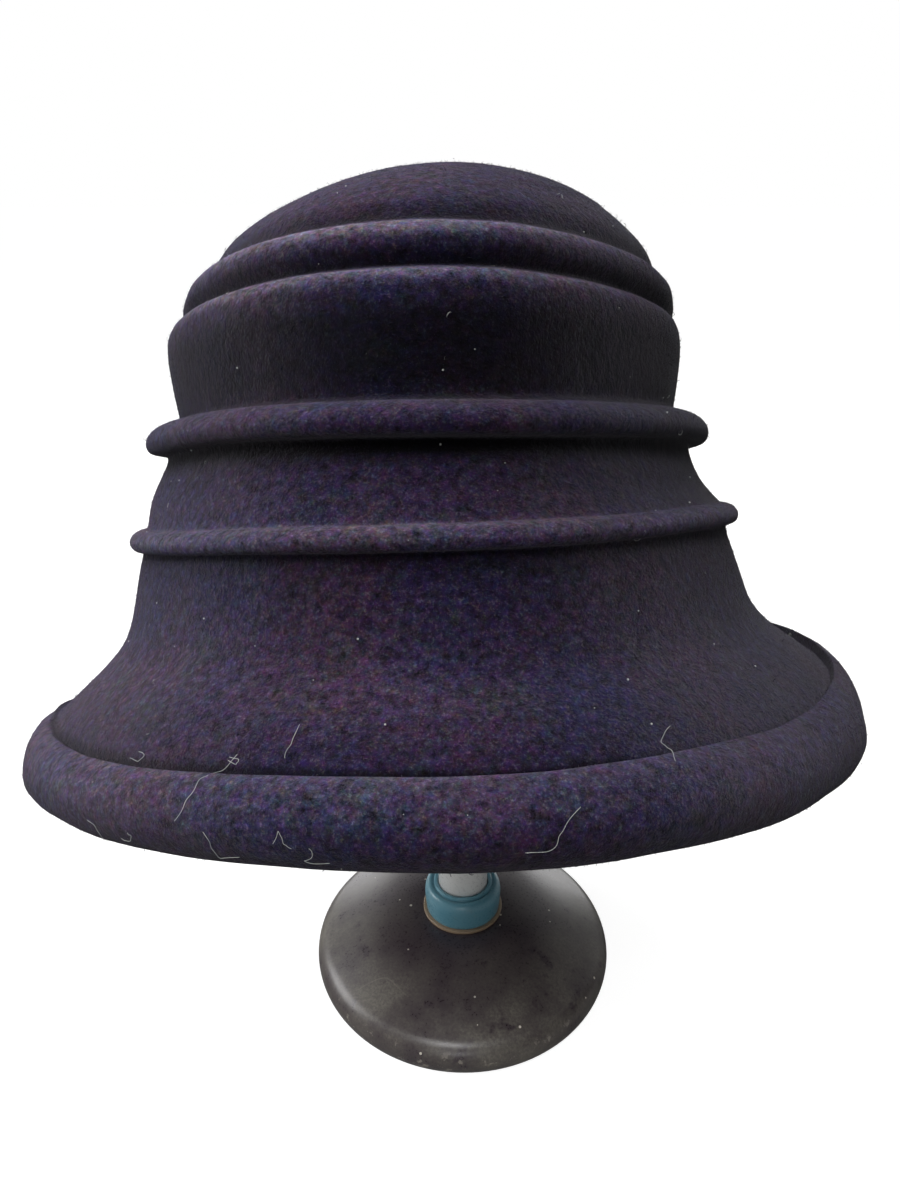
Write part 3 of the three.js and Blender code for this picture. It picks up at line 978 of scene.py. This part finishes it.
rim = ring_high.x - RING_ROUND
ring_profile = [(hole, ring_low.z), (rim, ring_low.z)]
ring_profile += arc(rim, ring_low.z + RING_ROUND, RING_ROUND, -90, 0, SMALL_ARC)
ring_profile += arc(rim, ring_high.z - RING_ROUND, RING_ROUND, 0, 90, SMALL_ARC)
ring_profile += [(hole, ring_high.z), (hole, ring_low.z)]
ring = stand_piece("cream_ring", "collar_ring", ring_profile)

post_profile = [
    (0, post_low.z),
    (post_high.x - EASED, post_low.z),
    (post_high.x, post_low.z + EASED),
    (post_high.x, post_high.z - EASED),
    (post_high.x - EASED, post_high.z),
    (0, post_high.z),
]
post = stand_piece("white_post", "post", post_profile)

# %% [markdown]
# A domed head on the post carries the crown from inside. It is hidden, so it is one plain piece: a
# short rim and part of a sphere, whose radius follows from the head's width and rise.

# %% Head of the post
RIM_HEIGHT = 4 * MM
HEAD_ARC = 16

cap_low, cap_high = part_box("support_cap")
cap_radius = cap_high.x
cap_rise = cap_high.z - cap_low.z - RIM_HEIGHT
cap_curve = (cap_radius**2 + cap_rise**2) / (2 * cap_rise)
cap_reach = math.degrees(math.asin(cap_radius / cap_curve))
cap_profile = [(0, cap_low.z), (cap_radius - EASED, cap_low.z)]
cap_profile.append((cap_radius, cap_low.z + EASED))
cap_profile += arc(0, cap_high.z - cap_curve, cap_curve, 90 - cap_reach, 90, HEAD_ARC)
cap = stand_piece("post_head", "support_cap", cap_profile)

# %% [markdown]
# The base is satin black paint under dust. A flat grey would look clean, so a group of worn-paint
# effects makes its finish. The first are dust in soft clouds, thicker near the rim, and smudges that
# are nearly clean where fingers touched it.

# %% Dust on the paint
CLOUDS_PER_METRE = 38
GRAINS_PER_METRE = 900
SMUDGES_PER_METRE = 95
DUST_START = 25 * MM
DUST_FULL = 66 * MM
DUST_INNER = 0.45
DUST_OUTER = 1.35
SMUDGE_DUST = 0.25
GRAIN_DUST = 0.45

paint = new_group(
    "dusty_paint",
    {
        "Place": VECTOR,
        "Paint": COLOUR,
        "Dust": COLOUR,
        "Amount": VALUE,
        "Specks": VALUE,
        "Worn Radius": VALUE,
    },
    {"Color": COLOUR, "Roughness": VALUE, "Height": VALUE},
)
entry = add_node(paint, "NodeGroupInput").outputs
flatten = {0: entry["Place"], 1: (1, 1, 0)}
flat = add_node(paint, "ShaderNodeVectorMath", flatten, operation="MULTIPLY").outputs[0]
radius = add_node(paint, "ShaderNodeVectorMath", {0: flat}, operation="LENGTH").outputs["Value"]
clouds = remap(paint, noise_value(paint, entry["Place"], CLOUDS_PER_METRE, 5.0, 0.6), 0.30, 0.66)
outer = remap(paint, radius, DUST_START, DUST_FULL, DUST_INNER, DUST_OUTER)
fine = remap(paint, noise_value(paint, entry["Place"], GRAINS_PER_METRE, 3.0, 0.7), 0.35, 0.75)
smudges = remap(paint, noise_value(paint, entry["Place"], SMUDGES_PER_METRE, 3.0, 0.6), 0.60, 0.68)
grainy = remap(paint, fine, 0, 1, GRAIN_DUST, 1.0)
wiped = remap(paint, smudges, 0, 1, 1.0, SMUDGE_DUST)
greying = clouds
for factor in (outer, grainy, entry["Amount"], wiped):
    greying = combined(paint, "MULTIPLY", greying, factor)
colour = mixed(paint, greying, entry["Paint"], entry["Dust"])
print("nodes for dust:", len(paint.nodes))

# %% [markdown]
# On top of the dust lie marks: small pale specks, chips at the rim, and a few fine scratches. Each
# could be a small mesh, but they have no thickness to speak of. A Voronoi pattern gives the
# specks, and a scratch is the thin line along which a slow noise passes its middle value.

# %% Marks on the paint
SPECK = (0.62, 0.58, 0.50, 1)
CHIP = (0.30, 0.27, 0.23, 1)
SPECKS_PER_METRE = 165.0
SPECK_SIZE = 0.13
CHIPS_PER_METRE = 160
CHIP_REACH = 3.0 * MM
SCRATCH_CELLS = 26.0
SCRATCH_WIDTH = 0.006
SCRATCH_SHARE = 0.35
SCRATCH_PLACES = 30
MIDDLE = 0.5
SMOOTHEST = 0.24
ROUGHEST = 0.50
GRAIN_RELIEF = 0.3

dots = add_node(
    paint, "ShaderNodeTexVoronoi", {"Vector": entry["Place"], "Scale": SPECKS_PER_METRE}
)
chosen = add_node(paint, "ShaderNodeSeparateColor", {0: dots.outputs["Color"]}).outputs[0]
size = remap(paint, chosen, MIDDLE, 1.0, 0.0, SPECK_SIZE)
dot = combined(paint, "LESS_THAN", dots.outputs["Distance"], size)
colour = mixed(paint, combined(paint, "MULTIPLY", dot, entry["Specks"]), colour, SPECK)
near_rim = remap(paint, combined(paint, "SUBTRACT", radius, entry["Worn Radius"]), 0.0, CHIP_REACH)
chips = remap(paint, noise_value(paint, entry["Place"], CHIPS_PER_METRE, 4.0, 0.7), 0.60, 0.64)
colour = mixed(paint, combined(paint, "MULTIPLY", near_rim, chips), colour, CHIP)
scratch_noise = {"Scale": SCRATCH_CELLS, "Detail": 0.0, "Distortion": 0.4}
scratch_noise["Vector"] = entry["Place"]
slow = add_node(paint, "ShaderNodeTexNoise", scratch_noise).outputs["Fac"]
off_line = combined(paint, "ABSOLUTE", combined(paint, "SUBTRACT", slow, MIDDLE), 0.0)
scratches = remap(paint, off_line, 0.0, SCRATCH_WIDTH, SCRATCH_SHARE, 0.0)
scratched = remap(paint, noise_value(paint, entry["Place"], SCRATCH_PLACES, 2.0), 0.58, 0.64)
scratches = combined(paint, "MULTIPLY", scratches, scratched)
colour = mixed(paint, combined(paint, "MULTIPLY", scratches, entry["Specks"]), colour, CHIP)
rough = remap(paint, combined(paint, "ADD", greying, fine), 0.0, 1.6, SMOOTHEST, ROUGHEST)
lift = combined(paint, "ADD", combined(paint, "MULTIPLY", fine, GRAIN_RELIEF), greying)
add_node(paint, "NodeGroupOutput", {"Color": colour, "Roughness": rough, "Height": lift})
print("nodes with marks:", len(paint.nodes))

# %% [markdown]
# Each part of the stand gets the same worn finish with its own paint, dust and radius past which the
# paint is chipped. For the washer and the post that radius is one metre, so they have no chips.
# The numbers are written as one table, so the four finishes can be compared.

# %% Stand materials
PAINT_BUMP = 0.08 * MM
PAINT_STRENGTH = 0.3
FINISHES = {
    "base_black": {
        "piece": base,
        "Paint": (0.030, 0.018, 0.028, 1),
        "Dust": (0.160, 0.148, 0.122, 1),
        "Amount": 0.85,
        "Specks": 1.0,
        "Worn Radius": 67.5 * MM,
        "coat": 0.35,
    },
    "collar_teal": {
        "piece": collar,
        "Paint": (0.110, 0.300, 0.390, 1),
        "Dust": (0.230, 0.390, 0.430, 1),
        "Amount": 0.6,
        "Specks": 0.0,
        "Worn Radius": 17.2 * MM,
        "coat": 0.3,
    },
    "washer_cream": {
        "piece": ring,
        "Paint": (0.300, 0.215, 0.140, 1),
        "Dust": (0.420, 0.340, 0.240, 1),
        "Amount": 0.8,
        "Specks": 0.0,
        "Worn Radius": 1.0,
        "coat": 0.0,
    },
    "post_white": {
        "piece": post,
        "Paint": (0.900, 0.890, 0.870, 1),
        "Dust": (0.780, 0.765, 0.730, 1),
        "Amount": 0.3,
        "Specks": 0.0,
        "Worn Radius": 1.0,
        "coat": 0.2,
    },
}


def painted(name, finish):
    """Gives a piece of the stand a finish with its own colours and amount of dust."""
    material, tree, shader, place = new_material(
        name, Coat_Weight=finish["coat"], Coat_Roughness=0.35, Specular_IOR_Level=0.5
    )
    inputs = {"Place": place}
    for label in ("Paint", "Dust", "Amount", "Specks", "Worn Radius"):
        inputs[label] = finish[label]
    worn = add_node(tree, "ShaderNodeGroup", inputs, node_tree=paint).outputs
    relief = {"Strength": PAINT_STRENGTH, "Distance": PAINT_BUMP, "Height": worn["Height"]}
    bump = add_node(tree, "ShaderNodeBump", relief).outputs["Normal"]
    looks = {"Base Color": worn["Color"], "Roughness": worn["Roughness"], "Normal": bump}
    set_inputs(tree, shader, looks)
    cover(finish["piece"], material)


for name, finish in FINISHES.items():
    painted(name, finish)
cover(cap, post.data.materials[0])
print("painted:", ", ".join(FINISHES))

# %% [markdown]
# Loose pale threads lie on the brim. They could be strewn at random, but each is placed where the
# photograph shows it: a ray from the camera through each of its pixels finds the felt, and small
# random bends between those pixels make the thread look less drawn.

# %% Trace the threads
THREAD_LIFT = 0.35 * MM
THREADS = {
    "long": ((175, 820), (188, 800), (200, 780), (225, 770), (238, 755)),
    "green": ((285, 760), (290, 745), (300, 725)),
    "loop": ((205, 830), (212, 848), (222, 857), (240, 856)),
    "hook": ((310, 848), (312, 856), (305, 861), (330, 862)),
    "right": ((668, 725), (660, 742), (672, 750), (675, 762)),
    "low": ((580, 808), (562, 830), (553, 850), (525, 852)),
    "left edge": ((90, 818), (97, 828), (106, 838), (117, 843)),
    "small ring": ((127, 832), (133, 836), (129, 841), (122, 837)),
    "hairpin": ((274, 842), (279, 829), (284, 842), (292, 848)),
    "groove curl": ((231, 757), (240, 759), (236, 764), (229, 761)),
    "left curl": ((141, 751), (145, 756), (139, 761), (131, 758)),
}
WIGGLE_STEPS = 3
WIGGLE = 1.8
THREAD_SEED = 5
dice = random.Random(THREAD_SEED)
graph = bpy.context.evaluated_depsgraph_get()
felt_tree = BVHTree.FromObject(felt_hat, graph)


def wiggly(path):
    """A path of pixels with small random bends added between its points."""
    points = []
    for start, end in zip(path, path[1:]):
        for step in range(WIGGLE_STEPS):
            point = Vector(start).lerp(Vector(end), step / WIGGLE_STEPS)
            bend = Vector((dice.uniform(-WIGGLE, WIGGLE), dice.uniform(-WIGGLE, WIGGLE)))
            points.append(point + bend)
    return points + [Vector(path[-1])]


def on_felt(pixel):
    """The point of the felt that shows at a pixel, lifted clear of it, or None past its edge."""
    hit, normal, _, _ = felt_tree.ray_cast(CAMERA_PLACE, pixel_direction(*pixel))
    return hit + normal * THREAD_LIFT if hit else None


thread_paths = []
for path in THREADS.values():
    found = [on_felt(pixel) for pixel in wiggly(path)]
    thread_paths.append([point for point in found if point])
print("thread points:", sum(len(path) for path in thread_paths))

# %% [markdown]
# A thread is thinner than a millimetre, so a curve with a round bevel is enough, and it bends more
# smoothly than a row of cylinders. A curve can't be exported, so its mesh takes its place.

# %% Lint threads
THREAD_WIDTH = 0.13 * MM
BEVEL_STEPS = 1
CURVE_STEPS = 5
SMOOTH_ORDER = 4


def thread_curve(name, paths):
    """One curve with a smooth round thread along each path of points."""
    curve = bpy.data.curves.new(name, "CURVE")
    curve.dimensions = "3D"
    curve.bevel_depth = THREAD_WIDTH / 2
    curve.bevel_resolution = BEVEL_STEPS
    curve.resolution_u = CURVE_STEPS
    curve.use_fill_caps = True
    for path in paths:
        spline = curve.splines.new("NURBS")
        spline.points.add(len(path) - 1)
        for point, place in zip(spline.points, path):
            point.co = (*place, 1)
        spline.order_u = min(SMOOTH_ORDER, len(path))
        spline.use_endpoint_u = True
    return curve


threads = linked("lint_threads", thread_curve("lint_threads", thread_paths))
thread_mesh = shown_mesh(threads)
bpy.data.objects.remove(threads)
threads = linked("lint_threads", thread_mesh)
threads.data.shade_smooth()
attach(threads, "root")
print("thread faces:", len(threads.data.polygons))

# %% [markdown]
# Lint is undyed, so it is pale against the felt, from cream to a greenish grey. One material with a
# slow noise gives all the loose things their slightly different colours.

# %% Lint material
LINT_PALE = (0.46, 0.46, 0.43, 1)
LINT_GREY = (0.24, 0.27, 0.28, 1)
LINT_CLOUDS = 300

lint, tree, shader, place = new_material("pale_lint", Roughness=0.9, Specular_IOR_Level=0.2)
tint = remap(tree, noise_value(tree, place, LINT_CLOUDS), LOW_CLOUD, HIGH_CLOUD)
set_inputs(tree, shader, {"Base Color": mixed(tree, tint, LINT_GREY, LINT_PALE)})
cover(threads, lint)

# %% [markdown]
# Besides the threads, short pale hairs and crumbs of dust are caught all over the felt. They are
# scattered like the nap, only far fewer.

# %% Loose hairs and crumbs
HAIR_WIDTH = 0.05 * MM
CRUMB_RADIUS = 0.22 * MM
HAIR_BENDS = (1.2, 0.8, 1.0, 0.9)
HAIRS = {"name": "lint_hairs", "density": 700, "tilt": 1.5, "grow": (1.2, 3.5)}
CRUMBS = {"name": "dust_crumbs", "density": 900, "tilt": 3.1, "grow": (0.5, 1.6)}
HAIR_SEED = 51
CRUMB_SEED = 61

hairs = scattered(HAIRS, fibre_mesh("hair", HAIR_BENDS, HAIR_WIDTH), HAIR_SEED)
ball = bmesh.new()
bmesh.ops.create_icosphere(ball, subdivisions=1, radius=CRUMB_RADIUS)
crumbs = scattered(CRUMBS, mesh_of("crumb", ball), CRUMB_SEED)
for piece in (hairs, crumbs):
    cover(piece, lint)
